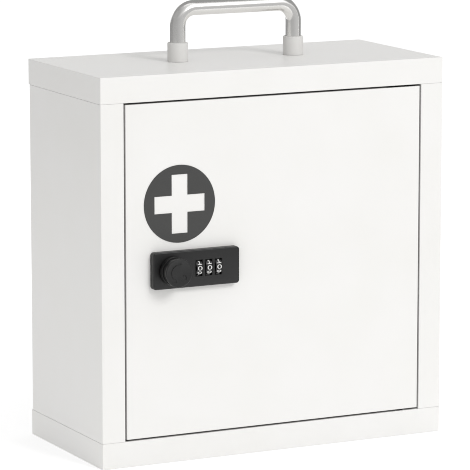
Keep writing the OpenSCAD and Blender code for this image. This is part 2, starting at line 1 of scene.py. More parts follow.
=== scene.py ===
# %% [markdown]
# # A lockable medicine cabinet, from the imported frame to the finished picture
#
# The cabinet is a white, foil-covered board box with an inset door. It has a bent steel handle on top, a
# round dark film with a cross on the door, and a combination lock with a turning knob. The construction
# comes ready made as the frame. This script gives every part its finish, models the parts whose looks need
# finer shapes, and sets the camera and the light.
#
# The frame is loaded first, because every piece takes its place from it and rides on one of its bodies.

# %% Load the frame
import math

import bmesh
import bpy
from mathutils import Matrix, Vector


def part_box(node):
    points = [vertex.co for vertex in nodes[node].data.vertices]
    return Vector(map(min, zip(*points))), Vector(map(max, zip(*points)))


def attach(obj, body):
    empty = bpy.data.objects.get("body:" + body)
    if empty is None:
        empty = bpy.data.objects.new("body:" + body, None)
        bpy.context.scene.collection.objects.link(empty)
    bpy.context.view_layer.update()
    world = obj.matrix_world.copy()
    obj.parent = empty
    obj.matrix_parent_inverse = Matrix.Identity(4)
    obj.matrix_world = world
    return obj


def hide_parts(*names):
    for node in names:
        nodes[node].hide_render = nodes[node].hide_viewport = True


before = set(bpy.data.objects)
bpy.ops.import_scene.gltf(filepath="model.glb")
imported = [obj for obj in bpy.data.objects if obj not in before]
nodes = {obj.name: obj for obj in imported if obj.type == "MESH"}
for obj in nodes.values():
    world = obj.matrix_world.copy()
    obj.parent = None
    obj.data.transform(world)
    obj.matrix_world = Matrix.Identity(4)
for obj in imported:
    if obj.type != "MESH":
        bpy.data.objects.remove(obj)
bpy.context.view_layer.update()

# %% [markdown]
# ## Camera
#
# The picture was taken from the left front, a little above the cabinet, from more than two metres away with
# a long lens, so the edges run almost parallel. A camera could be aimed by eye, but its place and its two
# angles were worked out from the corners of the cabinet, whose real size is known. The rotation is written
# as turn and pitch, the way a tripod head is set. The Standard view transform shows a colour as it is
# written.

# %% Camera
MM = 0.001
SENSOR_MM = 36.0
IMAGE_PX = 470
FOCAL_PX = 3388.6
FARTHEST_SEEN = 100
camera_place = Vector((-1192.7, -2384.9, 626.2)) * MM
camera_turn = math.radians(26.555)
camera_pitch = math.radians(9.883)

camera_data = bpy.data.cameras.new("camera")
camera_data.sensor_width = SENSOR_MM
camera_data.lens = FOCAL_PX / IMAGE_PX * SENSOR_MM
camera_data.clip_end = FARTHEST_SEEN
camera = bpy.data.objects.new("camera", camera_data)
camera.location = camera_place
camera.rotation_euler = (math.pi / 2 - camera_pitch, 0, -camera_turn)
scene = bpy.context.scene
scene.collection.objects.link(camera)
scene.camera = camera
scene.view_settings.view_transform = "Standard"
print("the lens is", round(camera_data.lens), "mm")

# %% [markdown]
# ## Dark gaps and crisp lines
#
# The gap round the door is 1.4 mm wide and as deep as the door is thick, 16 mm, so it looks almost black.
# Light that white walls pass on to each other would fill it with grey. Matt surfaces pass light on only
# once here, which keeps the gap dark. A pixel filter narrower than the usual one keeps so thin a line crisp.

# %% Light paths and pixel filter
MATT_BOUNCES = 1
PIXEL_FILTER = 1.0
scene.cycles.diffuse_bounces = MATT_BOUNCES
scene.cycles.filter_width = PIXEL_FILTER
print("matt surfaces pass light on", MATT_BOUNCES, "time")

# %% [markdown]
# ## Small helpers for materials
#
# A finish is a small graph of nodes. Colours are picked on screens as sRGB hex values, but the shader
# calculates with linear light, so one function turns the one into the other. A second function adds a node,
# sets it up and plugs its inputs in one line, which keeps each material short enough to read.

# %% Colour and node helpers
def linear(hex_colour):
    """An sRGB hex colour such as "f6f5f3" as linear RGBA."""
    parts = [int(hex_colour[i:i + 2], 16) / 255 for i in (0, 2, 4)]
    return [c / 12.92 if c <= 0.04045 else ((c + 0.055) / 1.055) ** 2.4 for c in parts] + [1.0]


def add(tree, kind, links=None, **settings):
    """Adds a node. Settings name its properties or inputs, and links join inputs to other outputs."""
    node = tree.nodes.new(kind)
    for name, value in settings.items():
        if name in node.bl_rna.properties:
            setattr(node, name, value)
        else:
            node.inputs[name.replace("_", " ")].default_value = value
    for name, source in (links or {}).items():
        tree.links.new(source, node.inputs[name])
    return node


def set_up(node, **values):
    """Sets plain values on a node's own sockets."""
    for name, value in values.items():
        node.inputs[name.replace("_", " ")].default_value = value


def new_material(name):
    """An empty material, its tree and its surface shader."""
    material = bpy.data.materials.new(name)
    material.use_nodes = True
    tree = material.node_tree
    tree.nodes.clear()
    shader = add(tree, "ShaderNodeBsdfPrincipled")
    add(tree, "ShaderNodeOutputMaterial", {"Surface": shader.outputs["BSDF"]})
    return material, tree, shader


print("black is", linear("000000")[0], "and middle grey is", round(linear("808080")[0], 2))

# %% [markdown]
# ## Small helpers for patterns
#
# No real surface is one flat colour. Each finish starts from a noise with grains of a known size in
# millimetres, fixed to the piece by its Object coordinates, so that it stays put when the door swings. Where
# one cause lies behind the colour, the sheen and the relief, one noise steers them all.

# %% Pattern helpers
NOISE_LOW = 0.3
NOISE_HIGH = 0.7


def object_noise(tree, size_mm, detail, stretch=(1, 1, 1)):
    """Noise whose grains are size_mm across. Stretch makes them longer along an axis."""
    coords = add(tree, "ShaderNodeTexCoord")
    mapping = add(tree, "ShaderNodeMapping", {"Vector": coords.outputs["Object"]},
                  Scale=[1 / s for s in stretch])
    noise = add(tree, "ShaderNodeTexNoise", {"Vector": mapping.outputs["Vector"]}, Detail=detail)
    set_up(noise, Scale=1 / (size_mm * MM))
    return noise.outputs["Fac"]


def remap(tree, value, low, high):
    """Spreads the middle of a noise's range over low to high."""
    node = add(tree, "ShaderNodeMapRange", {"Value": value})
    set_up(node, From_Min=NOISE_LOW, From_Max=NOISE_HIGH, To_Min=low, To_Max=high)
    return node.outputs["Result"]


def two_tone(tree, value, low_hex, high_hex):
    """Mixes two close colours by a noise."""
    mix = add(tree, "ShaderNodeMix", data_type="RGBA")
    # A Mix node for colours has its factor at 0 and its two colours at 6 and 7.
    factor, colour_a, colour_b = mix.inputs[0], mix.inputs[6], mix.inputs[7]
    tree.links.new(remap(tree, value, 0, 1), factor)
    colour_a.default_value = linear(low_hex)
    colour_b.default_value = linear(high_hex)
    return mix.outputs[2]


def bumps(tree, shader, height, depth_mm, strength):
    """Lets a noise raise the surface by depth_mm."""
    node = add(tree, "ShaderNodeBump", {"Height": height}, Strength=strength, Distance=depth_mm * MM)
    tree.links.new(node.outputs["Normal"], shader.inputs["Normal"])


materials = {}
print("pattern helpers ready")

# %% [markdown]
# ## White foil on board
#
# The boards are fibreboard with a white satin foil pressed round them. Up close such a foil isn't glassy: it
# has a shallow orange-peel relief a few millimetres wide, and its sheen changes a little over a hand's
# breadth. The relief is some hundredths of a millimetre, which shows only where a light grazes the board.

# %% White foil
def white_foil():
    """Foil pressed on board: an even, faintly warm white with a soft sheen and no sharp mirror image."""
    material, tree, shader = new_material("white satin foil on board")
    sheen = object_noise(tree, size_mm=60, detail=2)
    peel = object_noise(tree, size_mm=2.2, detail=1)
    tree.links.new(two_tone(tree, sheen, "f3f2ef", "f5f4f2"), shader.inputs["Base Color"])
    tree.links.new(remap(tree, sheen, low=0.36, high=0.42), shader.inputs["Roughness"])
    bumps(tree, shader, peel, depth_mm=0.02, strength=0.25)
    set_up(shader, IOR=1.46)
    return material


materials["white_board"] = white_foil()
print("made", materials["white_board"].name)

# %% [markdown]
# ## Beech
#
# The dowels are turned from beech, a pale wood with short darker flecks along its grain. They hide inside
# the corner joints, but a cabinet that is taken apart shows them. A noise stretched along Z gives the long
# grain, and its two close colours give the flecks.

# %% Beech
def beech():
    """Planed beech: pale, dry and slightly uneven."""
    material, tree, shader = new_material("planed beech")
    grain = object_noise(tree, size_mm=0.6, detail=3, stretch=(1, 1, 14))
    tree.links.new(two_tone(tree, grain, "b98f62", "dcbb8e"), shader.inputs["Base Color"])
    tree.links.new(remap(tree, grain, low=0.7, high=0.55), shader.inputs["Roughness"])
    bumps(tree, shader, grain, depth_mm=0.05, strength=0.4)
    return material


materials["bare_wood"] = beech()
print("made", materials["bare_wood"].name)

# %% [markdown]
# ## Metals
#
# The cabinet has three metal finishes. The handle's bar is polished and plated: almost a mirror, softened by
# fine polishing marks. Screws, plates and the lock's works are zinc plated, with a blotchy sheen. The colour
# of both is their reflection, so Metallic is 1 and they differ in colour and roughness alone.
#
# The handle's sleeves are blasted and then coated with a matt clear lacquer. Half of their light comes back
# from the grains in the lacquer, as from a paint, so Metallic is one half, and they look flat and even
# beside the bright bar. Polishing marks and blasting grit are really about 0.05 mm wide. They are drawn five
# to seven times coarser, because finer ones would not show.

# %% Metals
def polished_plating():
    """Polished nickel plate: bright, with soft-edged reflections."""
    material, tree, shader = new_material("polished nickel plate")
    marks = object_noise(tree, size_mm=0.35, detail=2, stretch=(12, 1, 1))
    tree.links.new(remap(tree, marks, low=0.17, high=0.22), shader.inputs["Roughness"])
    bumps(tree, shader, marks, depth_mm=0.002, strength=0.15)
    set_up(shader, Metallic=1.0, Base_Color=linear("f6f5f3"))
    return material


def satin_blasted():
    """Blasted steel in matt lacquer: an even pale grey without a mirror image."""
    material, tree, shader = new_material("satin blasted steel")
    grit = object_noise(tree, size_mm=0.25, detail=2)
    tree.links.new(remap(tree, grit, low=0.82, high=0.9), shader.inputs["Roughness"])
    bumps(tree, shader, grit, depth_mm=0.01, strength=0.3)
    set_up(shader, Metallic=0.5, Base_Color=linear("e9e8e6"))
    return material


def zinc_plate():
    """Blue passivated zinc: a cool grey metal with a blotchy, half-dull sheen."""
    material, tree, shader = new_material("blue passivated zinc plate")
    blotch = object_noise(tree, size_mm=3, detail=3)
    tree.links.new(two_tone(tree, blotch, "b4b6ba", "cbccce"), shader.inputs["Base Color"])
    tree.links.new(remap(tree, blotch, low=0.28, high=0.4), shader.inputs["Roughness"])
    set_up(shader, Metallic=1.0)
    return material


materials["polished_steel"] = polished_plating()
materials["satin_steel"] = satin_blasted()
materials["plated_steel"] = zinc_plate()
print("made", len(materials), "finishes so far")

# %% [markdown]
# ## Plastics, film and rubber
#
# The lock's housing and knob are black ABS from a spark-eroded mould, which leaves a fine matt grain: the
# black looks charcoal wherever light falls on it. The dials are a smoother, deeper black. The round film is
# self-adhesive vinyl, a neutral dark grey with a low sheen. Bushes are black nylon, and the door's buffers
# are clear silicone. The first four differ only in colour, grain and sheen, so one function makes them. The
# mould's grain is really about 0.1 mm wide, and is drawn three times coarser so that it shows.

# %% Plastics, film and rubber
SHEEN_SPREAD = 0.04


def grained_plastic(name, colours, roughness, grain_mm, depth_mm):
    """A moulded or rolled plastic: dark and matt, and greyer towards the light."""
    material, tree, shader = new_material(name)
    grain = object_noise(tree, grain_mm, detail=2)
    tree.links.new(two_tone(tree, grain, *colours), shader.inputs["Base Color"])
    sheen = remap(tree, grain, roughness - SHEEN_SPREAD, roughness + SHEEN_SPREAD)
    tree.links.new(sheen, shader.inputs["Roughness"])
    bumps(tree, shader, grain, depth_mm, strength=0.4)
    set_up(shader, IOR=1.53)
    return material


def clear_silicone():
    """Clear silicone: a milky drop that takes the colour of the board behind it."""
    material, tree, shader = new_material("clear silicone")
    haze = object_noise(tree, size_mm=1.5, detail=2)
    tree.links.new(remap(tree, haze, low=0.2, high=0.3), shader.inputs["Roughness"])
    set_up(shader, Base_Color=linear("eef1f0"), IOR=1.41, Transmission_Weight=0.7)
    return material


# Slot, name, the grain's two tones, roughness, width of the grain in mm and its depth in mm.
PLASTICS = [
    ("black_plastic", "matt black ABS", ("101010", "141414"), 0.4, 0.3, 0.03),
    ("dial_plastic", "dial black ABS", ("060606", "0a0a0a"), 0.4, 0.3, 0.01),
    ("dark_film", "charcoal vinyl film", ("3d3d3c", "414140"), 0.45, 0.5, 0.01),
    ("bush_plastic", "black nylon", ("161616", "1c1c1c"), 0.5, 0.6, 0.01),
]
for slot_name, *recipe in PLASTICS:
    materials[slot_name] = grained_plastic(*recipe)
materials["clear_rubber"] = clear_silicone()
print("made", len(materials), "finishes for the frame")

# %% [markdown]
# ## Finishes on the frame's own nodes
#
# Every node of the frame comes with a plain material that is named for its slot. Each plain material could
# be assigned by hand, but one loop that swaps it for the finish of the same slot dresses the whole frame and
# forgets nothing.

# %% Dress the frame
for node in nodes.values():
    slot_name = node.data.materials[0].name.split(".")[0]
    node.data.materials[0] = materials[slot_name]
print("dressed", len(nodes), "nodes")

# %% [markdown]
# ## Small helpers for meshes
#
# The pieces below start as a bmesh, which holds a mesh while operators shape it. One function turns the
# finished bmesh into a piece: it points the faces outwards, shades them smooth up to a sharp angle, gives
# the finish, and lets the piece ride on its body. Others spin a profile round an axis, as a lathe does, make
# a block or a round bar, and round edges.

# %% Mesh helpers
SHARP_ANGLE = math.radians(32)
ALONG_Y = Matrix.Rotation(math.pi / 2, 4, "X")
UPRIGHT = Matrix.Identity(4)
WELD = 1e-7  # corners nearer to each other than this are joined
LATHE_STEPS = 96
BORE_SIDES = 64


def finished(name, bm, slot_name, body, *replaced):
    """Makes a bmesh a piece of the cabinet."""
    bmesh.ops.recalc_face_normals(bm, faces=bm.faces)
    mesh = bpy.data.meshes.new(name)
    bm.to_mesh(mesh)
    bm.free()
    mesh.shade_smooth()
    mesh.set_sharp_from_angle(angle=SHARP_ANGLE)
    mesh.materials.append(materials[slot_name])
    piece = bpy.data.objects.new(name, mesh)
    scene.collection.objects.link(piece)
    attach(piece, body)
    if replaced:
        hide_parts(*replaced)
    print(name, "has", len(mesh.polygons), "faces")


def outline(bm, points):
    """A closed loop of edges through (radius, height) points."""
    verts = [bm.verts.new((radius, 0, height)) for radius, height in points]
    edges = [bm.edges.new(pair) for pair in zip(verts, verts[1:] + verts[:1])]
    return verts + edges


def turned(points, steps=LATHE_STEPS):
    """Spins a closed outline round Z."""
    bm = bmesh.new()
    bmesh.ops.spin(bm, geom=outline(bm, points), cent=(0, 0, 0), axis=(0, 0, 1), dvec=(0, 0, 0),
                   angle=2 * math.pi, steps=steps, use_merge=True, use_duplicate=False)
    bmesh.ops.remove_doubles(bm, verts=bm.verts, dist=WELD)
    return bm


def brick(lo, hi):
    """A block from one corner to the other."""
    bm = bmesh.new()
    bmesh.ops.create_cube(bm, size=1)
    bmesh.ops.scale(bm, vec=hi - lo, verts=bm.verts)
    bmesh.ops.translate(bm, vec=(lo + hi) / 2, verts=bm.verts)
    return bm


def round_bar(middle, radius, length, direction=UPRIGHT):
    """A round bar about its middle, along Z or turned by direction."""
    bm = bmesh.new()
    bmesh.ops.create_cone(bm, cap_ends=True, segments=BORE_SIDES, radius1=radius, radius2=radius,
                          depth=length, matrix=Matrix.Translation(middle) @ direction)
    return bm


def moved(bm, matrix):
    """Moves or turns a whole bmesh."""
    bmesh.ops.transform(bm, matrix=matrix, verts=bm.verts)
    return bm


def rounded(bm, edges, radius, segments):
    """Rounds some edges of a bmesh."""
    bmesh.ops.bevel(bm, geom=edges, offset=radius, offset_type="OFFSET", affect="EDGES", segments=segments,
                    profile=0.5, material=-1, clamp_overlap=True)


def close_ends(bm):
    """Puts a face into every open end, and returns these faces."""
    open_edges = [e for e in bm.edges if e.is_boundary]
    return bmesh.ops.holes_fill(bm, edges=open_edges, sides=0)["faces"]


print("mesh helpers ready")

# %% [markdown]
# ## Drilling and milling
#
# Windows, bores and sunk marks are cut with an exact Boolean, as a drill or a milling cutter would. They
# could be modelled as loops of edges in the surface, but a cut through a rounded or curved face would then
# have to be worked out by hand. The cutters are helper objects that are gone when the cut is made.

# %% Cutting helper
def helper_object(shape):
    """A bmesh as an object that a modifier can work on."""
    bmesh.ops.recalc_face_normals(shape, faces=shape.faces)
    mesh = bpy.data.meshes.new("helper")
    shape.to_mesh(mesh)
    shape.free()
    helper = bpy.data.objects.new("helper", mesh)
    scene.collection.objects.link(helper)
    return helper


def carved(bm, tools):
    """Cuts each tool out of a body. All are bmeshes, and the result is a new one."""
    body = helper_object(bm)
    cutters = [helper_object(tool) for tool in tools]
    for cutter in cutters:
        cut = body.modifiers.new("cut", "BOOLEAN")
        cut.operation = "DIFFERENCE"
        cut.solver = "EXACT"
        cut.object = cutter
    result = bmesh.new()
    result.from_object(body, bpy.context.evaluated_depsgraph_get())
    for helper in [body, *cutters]:
        bpy.data.meshes.remove(helper.data)
    bmesh.ops.remove_doubles(result, verts=result.verts, dist=WELD)
    return result


print("cutting helper ready")

# %% [markdown]
# ## The handle's bar
#
# The handle is one round steel bar, bent twice and polished. A curve with a round bevel would give the same
# tube, but a bend made with spin has its rings exactly where the mandrel's radius begins and ends, so a
# straight leg stays straight. The ends are bored for the screws that come up through the top board.

# %% Handle bar
BEND_RADIUS = 14 * MM
BAR_SIDES = 72
BEND_STEPS = 28
SCREW_RADIUS = 2.55 * MM
bar_lo, bar_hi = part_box("handle_bar")
handle_screws_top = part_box("handle_screws")[1].z
bar_radius = (bar_hi.y - bar_lo.y) / 2
leg_x = bar_hi.x - bar_radius


def edges_of(made):
    """The edges among what an operator made."""
    return [g for g in made if isinstance(g, bmesh.types.BMEdge)]


def pulled(bm, ring, move):
    """Draws a ring of edges out into a straight tube and returns the new ring."""
    made = bmesh.ops.extrude_edge_only(bm, edges=ring)["geom"]
    bmesh.ops.translate(bm, vec=move, verts=[g for g in made if isinstance(g, bmesh.types.BMVert)])
    return edges_of(made)


def bent(bm, ring, centre):
    """Bends a ring of edges through a quarter turn to the right and returns the new ring."""
    geom = ring + list({v for e in ring for v in e.verts})
    made = bmesh.ops.spin(bm, geom=geom, cent=centre, axis=(0, 1, 0), dvec=(0, 0, 0), angle=math.pi / 2,
                          steps=BEND_STEPS, use_merge=False, use_duplicate=False)
    return edges_of(made["geom_last"])


def handle_bar():
    """Up the left leg, round, across, round, and down the right leg."""
    bm = bmesh.new()
    bmesh.ops.create_circle(bm, cap_ends=False, segments=BAR_SIDES, radius=bar_radius,
                            matrix=Matrix.Translation((-leg_x, 0, bar_lo.z)))
    bend_z = bar_hi.z - bar_radius - BEND_RADIUS
    ring = pulled(bm, list(bm.edges), (0, 0, bend_z - bar_lo.z))
    ring = bent(bm, ring, (-leg_x + BEND_RADIUS, 0, bend_z))
    ring = pulled(bm, ring, (2 * (leg_x - BEND_RADIUS), 0, 0))
    ring = bent(bm, ring, (leg_x - BEND_RADIUS, 0, bend_z))
    pulled(bm, ring, (0, 0, bar_lo.z - bend_z))
    ends = close_ends(bm)
    bmesh.ops.inset_region(bm, faces=ends, thickness=bar_radius - SCREW_RADIUS, use_even_offset=True)
    bores = bmesh.ops.extrude_discrete_faces(bm, faces=ends)["faces"]
    bmesh.ops.translate(bm, vec=(0, 0, handle_screws_top - bar_lo.z),
                        verts=[v for f in bores for v in f.verts])
    finished("polished_handle_bar", bm, "polished_steel", "carcass", "handle_bar")


handle_bar()

# %% [markdown]
# ## The handle's sleeves
#
# Each leg stands in a short satin sleeve that hides the joint with the board. It is a turned part, so its
# shape is a profile and its mesh one full spin. A bevel like a hairline runs round the rims, since a turned
# edge is always broken a little, and that hairline is what catches the light.

# %% Sleeves
SLEEVE_BEVEL = 0.8 * MM
EDGE_BREAK = 0.25 * MM
SLIDING_FIT = 0.05 * MM
ROUNDING = 0.3  # a quarter circle passes this share of its radius inside its corner


def handle_sleeve(side):
    """A short tube round a leg, with a rounded upper rim."""
    node = side + "_handle_sleeve"
    lo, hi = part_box(node)
    outer = (hi.x - lo.x) / 2
    bore = bar_radius + SLIDING_FIT
    height = hi.z - lo.z
    shoulder = ROUNDING * SLEEVE_BEVEL
    bm = turned([(bore, 0), (outer - EDGE_BREAK, 0), (outer, EDGE_BREAK), (outer, height - SLEEVE_BEVEL),
                 (outer - shoulder, height - shoulder), (outer - SLEEVE_BEVEL, height),
                 (bore + EDGE_BREAK, height), (bore, height - EDGE_BREAK)])
    moved(bm, Matrix.Translation(((lo.x + hi.x) / 2, (lo.y + hi.y) / 2, lo.z)))
    finished("satin_" + node, bm, "satin_steel", "carcass", node)


for side in ("left", "right"):
    handle_sleeve(side)

# %% [markdown]
# ## The windows of the lock
#
# Each dial turns behind a window in the lock's housing. A moulded window has a small chamfer round it, so
# that the mould lets go and the eye gets a crisp line. The cutter has that shape: a block whose front face
# is drawn out once wider, for the chamfer, and once straight on, past the face of the plate.

# %% Window cutter
WINDOW_HEIGHT = 12.6 * MM
SIDE_GAP = 0.35 * MM
CHAMFER = 0.35 * MM
PAST = 1 * MM  # how far a cutter runs on past a face
plate_lo, plate_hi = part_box("lock_faceplate")
dial_names = ["dial_1", "dial_2", "dial_3"]


def window_tool(dial):
    """A cutter for one dial's window, which widens to its chamfer at the plate's face."""
    lo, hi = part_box(dial)
    middle_z = (lo.z + hi.z) / 2
    bm = brick(Vector((lo.x - SIDE_GAP, plate_lo.y + CHAMFER, middle_z - WINDOW_HEIGHT / 2)),
               Vector((hi.x + SIDE_GAP, plate_hi.y, middle_z + WINDOW_HEIGHT / 2)))
    front = [f for f in bm.faces if f.normal.y < -0.5]
    for grow, step in ((CHAMFER, CHAMFER), (0, PAST)):
        front = bmesh.ops.extrude_discrete_faces(bm, faces=front)["faces"]
        verts = list(front[0].verts)
        middle = sum((v.co for v in verts), Vector()) / len(verts)
        for v in verts:
            v.co.x += math.copysign(grow, v.co.x - middle.x)
            v.co.z += math.copysign(grow, v.co.z - middle.z)
        bmesh.ops.translate(bm, vec=(0, -step, 0), verts=verts)
    return bm


print("a window is", round(WINDOW_HEIGHT / MM, 1), "mm high")

# %% [markdown]
# ## The lock's housing
#
# The housing is an injection-moulded plate with round corners, a soft front edge, three windows for the
# dials and a hole for the knob's spindle. The plate starts as a block: first its four corners are rounded,
# then its front rim, and the openings are cut last, so that the rounding can't run into them.

# %% Lock housing
CORNER_RADIUS = 2.5 * MM
CORNER_STEPS = 8
RIM_RADIUS = 0.9 * MM
RIM_STEPS = 5
TOUCH = 1e-5  # a corner this near to the plate's face lies on it
LOOSE_FIT = 0.3 * MM
RUNNING_FIT = 0.05 * MM
FIXING_HOLE_RADIUS = 1.55 * MM
knob_lo, knob_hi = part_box("lock_knob")
knob_middle = (knob_lo + knob_hi) / 2


def half_width(lo, hi):
    """The radius of a round piece, from the two corners of its box."""
    return (hi.x - lo.x) / 2


def bore_tool(centre, radius, front_y, rear_y):
    """A round cutter along Y."""
    length = rear_y - front_y
    return round_bar((centre.x, front_y + length / 2, centre.z), radius, length, ALONG_Y)


def lock_housing():
    """The plate, with its pocket for the case, its bores and its windows."""
    bm = brick(plate_lo, plate_hi)
    corners = [e for e in bm.edges if abs(e.verts[0].co.y - e.verts[1].co.y) > MM]
    rounded(bm, corners, CORNER_RADIUS, CORNER_STEPS)
    rim = [e for e in bm.edges if all(v.co.y < plate_lo.y + TOUCH for v in e.verts)]
    rounded(bm, rim, RIM_RADIUS, RIM_STEPS)
    case_lo, case_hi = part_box("lock_case")
    flange_lo, flange_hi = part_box("lock_barrel")
    spindle_lo, spindle_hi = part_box("lock_spindle")
    screw_lo, screw_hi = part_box("lock_fixing_screw")
    play = Vector((1, 1, 1)) * LOOSE_FIT
    spindle_bore = half_width(spindle_lo, spindle_hi) + LOOSE_FIT
    flange_bore = half_width(flange_lo, flange_hi) + RUNNING_FIT
    past_rear = plate_hi.y + PAST
    tools = [
        brick(case_lo - play, case_hi + play),
        bore_tool(knob_middle, spindle_bore, plate_lo.y - PAST, plate_hi.y),
        bore_tool(knob_middle, flange_bore, flange_lo.y, past_rear),
        bore_tool((screw_lo + screw_hi) / 2, FIXING_HOLE_RADIUS, screw_lo.y, past_rear),
    ]
    bm = carved(bm, tools + [window_tool(dial) for dial in dial_names])
    finished("lock_housing", bm, "black_plastic", "door", "lock_faceplate")


lock_housing()

# %% [markdown]
# ## The knob's outline
#
# The knob is turned by hand, so it has no sharp edge. Its outline is a narrow neck, a collar, a waist for
# the fingertips, and a cap with a rounded rim and a face dished by a hair, as moulded caps are. It could be
# stacked from discs, but one profile and one spin give a closed skin with no hidden walls.

# %% Knob outline
NECK = 1.4 * MM
NECK_INSET = 1.6 * MM
WAIST_AT = 5.4 * MM
WAIST_DEPTH = 0.9 * MM
CAP_RIM = 1.8 * MM
SOFT_EDGE = 0.15 * MM
EDGE_RADIUS = 0.5 * MM
EDGE_STEPS = 8
FLAT_RING = 0.4 * MM
DISH_SLOPE = 0.4 * MM
DISH = 0.12 * MM
knob_radius = (knob_hi.x - knob_lo.x) / 2
knob_length = knob_hi.y - knob_lo.y


def knob_profile():
    """The knob's outline as (radius, height) from its rear, in the order that a lathe tool would follow."""
    cap_from = knob_length - CAP_RIM
    neck_radius = knob_radius - NECK_INSET
    waist_radius = knob_radius - WAIST_DEPTH
    soft_radius = knob_radius - SOFT_EDGE
    points = [(0, 0), (neck_radius, 0), (neck_radius, NECK), (soft_radius, NECK),
              (knob_radius, NECK + SOFT_EDGE), (knob_radius, WAIST_AT - SOFT_EDGE), (soft_radius, WAIST_AT),
              (waist_radius, WAIST_AT), (waist_radius, cap_from), (soft_radius, cap_from),
              (knob_radius, cap_from + SOFT_EDGE)]
    for i in range(EDGE_STEPS + 1):
        turn = i / EDGE_STEPS * math.pi / 2
        points.append((knob_radius - EDGE_RADIUS * (1 - math.cos(turn)),
                       knob_length - EDGE_RADIUS * (1 - math.sin(turn))))
    ring_radius = knob_radius - EDGE_RADIUS - FLAT_RING
    face = knob_length - DISH
    return points + [(ring_radius, knob_length), (ring_radius - DISH_SLOPE, face), (0, face)]


print("the knob is", round(2 * knob_radius / MM, 1), "mm wide and", round(knob_length / MM, 1), "mm long")

# %% [markdown]
# ## Sunk marks
#
# A curved arrow and a small padlock are sunk into the knob's face. They could be a painted line, but sunk
# marks cast their own fine shadows. Each mark is a cutter one millimetre tall: the arrow is a small square
# section spun along its arc with a triangle in front, and the padlock is a block under half a ring.

# %% Mark cutters
TOOL_HEIGHT = 1 * MM
ARROW_RADIUS = 6.9 * MM
ARROW_WIDTH = 1.1 * MM
ARROW_FROM = math.radians(76)
ARROW_TURN = math.radians(160)
ARROW_STEPS = 40
HEAD_RADIUS = 1.75 * MM
HEAD_FORWARD = 0.7 * MM
PADLOCK_PLACE = Vector((4.0, -3.0, 0)) * MM
PADLOCK_HALF_WIDTH = 2.0 * MM
PADLOCK_HEIGHT = 2.8 * MM
SHACKLE_INNER = 0.8 * MM
SHACKLE_OUTER = 1.5 * MM
SHACKLE_STEPS = 32
SHACKLE_DIP = 0.01 * MM


def arrow_tool():
    """A curved bar, taller than the mark is deep, with its ends closed."""
    bm = bmesh.new()
    inner = ARROW_RADIUS - ARROW_WIDTH / 2
    outer = ARROW_RADIUS + ARROW_WIDTH / 2
    section = outline(bm, [(inner, 0), (outer, 0), (outer, TOOL_HEIGHT), (inner, TOOL_HEIGHT)])
    bmesh.ops.spin(bm, geom=section, cent=(0, 0, 0), axis=(0, 0, 1), dvec=(0, 0, 0), angle=ARROW_TURN,
                   steps=ARROW_STEPS, use_merge=False, use_duplicate=False)
    close_ends(bm)
    return moved(bm, Matrix.Rotation(ARROW_FROM, 4, "Z"))


def arrow_head_tool():
    """A triangle that points on along the arc."""
    bm = bmesh.new()
    bmesh.ops.create_cone(bm, cap_ends=True, segments=3, radius1=HEAD_RADIUS, radius2=HEAD_RADIUS,
                          depth=TOOL_HEIGHT)
    point_on = Matrix.Translation((ARROW_RADIUS, HEAD_FORWARD, TOOL_HEIGHT / 2))
    return moved(bm, Matrix.Rotation(ARROW_FROM + ARROW_TURN, 4, "Z") @ point_on)


def padlock_tools():
    """The padlock's body and its shackle, the upper half of a ring."""
    place = Matrix.Translation(PADLOCK_PLACE)
    body = brick(Vector((-PADLOCK_HALF_WIDTH, -PADLOCK_HEIGHT, 0)),
                 Vector((PADLOCK_HALF_WIDTH, 0, TOOL_HEIGHT)))
    shackle = turned([(SHACKLE_INNER, 0), (SHACKLE_OUTER, 0), (SHACKLE_OUTER, TOOL_HEIGHT),
                      (SHACKLE_INNER, TOOL_HEIGHT)], SHACKLE_STEPS)
    bmesh.ops.bisect_plane(shackle, geom=shackle.verts[:] + shackle.edges[:] + shackle.faces[:],
                           plane_co=(0, -SHACKLE_DIP, 0), plane_no=(0, -1, 0), clear_outer=True)
    close_ends(shackle)
    return [moved(body, place), moved(shackle, place)]


print("the arrow runs through", round(math.degrees(ARROW_TURN)), "degrees")

# %% [markdown]
# ## The knob
#
# The profile is spun, the marks are sunk into its face and the rear is bored for the spindle. All of this
# happens about the Z axis, where a lathe would hold the knob. Only then is it turned to face the front and
# brought to its place on the lock.

# %% Knob
MARK_DEPTH = 0.4 * MM


def lock_knob():
    """The turned and marked knob, in its place."""
    spindle_lo, spindle_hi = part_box("lock_spindle")
    bore_depth = knob_hi.y - spindle_lo.y + RUNNING_FIT
    bore_radius = half_width(spindle_lo, spindle_hi) + RUNNING_FIT
    bore = round_bar((0, 0, (bore_depth - PAST) / 2), bore_radius, bore_depth + PAST)
    sink = Matrix.Translation((0, 0, knob_length - DISH - MARK_DEPTH))
    marks = [arrow_tool(), arrow_head_tool()] + padlock_tools()
    bm = carved(turned(knob_profile()), [moved(mark, sink) for mark in marks] + [bore])
    place = Matrix.Translation((knob_middle.x, knob_hi.y, knob_middle.z)) @ ALONG_Y
    finished("turning_knob", moved(bm, place), "black_plastic", "knob", "lock_knob")


lock_knob()

# %% [markdown]
# ## White ink
#
# The figures on the dials are printed with a white ink. Such a film isn't as white as paper: it lies thin on
# black, so it is a little grey and uneven, and it is drier than the plastic round it.

# %% White ink
def white_ink():
    """Screen printing ink: a dry, slightly uneven white."""
    material, tree, shader = new_material("white screen printing ink")
    film = object_noise(tree, size_mm=0.4, detail=2)
    tree.links.new(two_tone(tree, film, "dcdcda", "ececea"), shader.inputs["Base Color"])
    tree.links.new(remap(tree, film, low=0.45, high=0.6), shader.inputs["Roughness"])
    set_up(shader, IOR=1.5)
    return material


materials["white_ink"] = white_ink()
print("made", materials["white_ink"].name)
